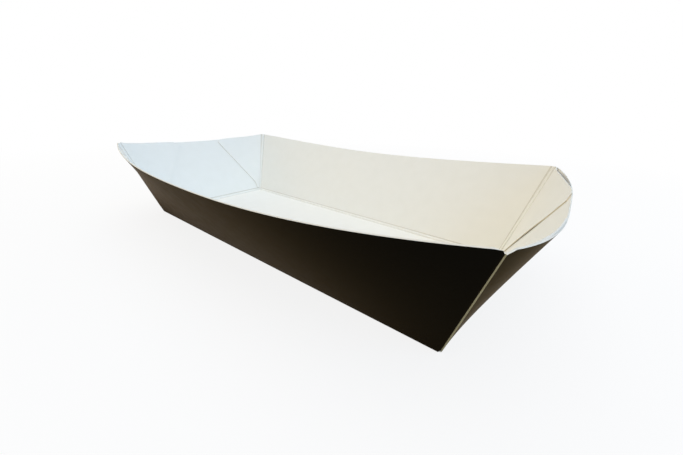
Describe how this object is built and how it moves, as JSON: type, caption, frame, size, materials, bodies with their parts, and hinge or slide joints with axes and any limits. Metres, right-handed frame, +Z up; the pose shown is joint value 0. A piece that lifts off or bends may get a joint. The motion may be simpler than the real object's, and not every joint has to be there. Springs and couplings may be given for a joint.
{
  "type": "paper food tray",
  "caption": "Boat-shaped takeaway food tray folded and glued from one sheet of coated paperboard, with flaring bowed walls and a flat base.",
  "frame": {"origin": "centre of the base's underside", "axes": "+X along the length, +Y across the width, +Z up out of the open top"},
  "size_m": [0.217, 0.1244, 0.0421],
  "materials": {
    "coated_paperboard": "paperboard printed satin black outside, plain white inside, pale raw cut edges"
  },
  "bodies": {
    "root": {"folded_tray": "coated_paperboard"}
  },
  "joints": []
}
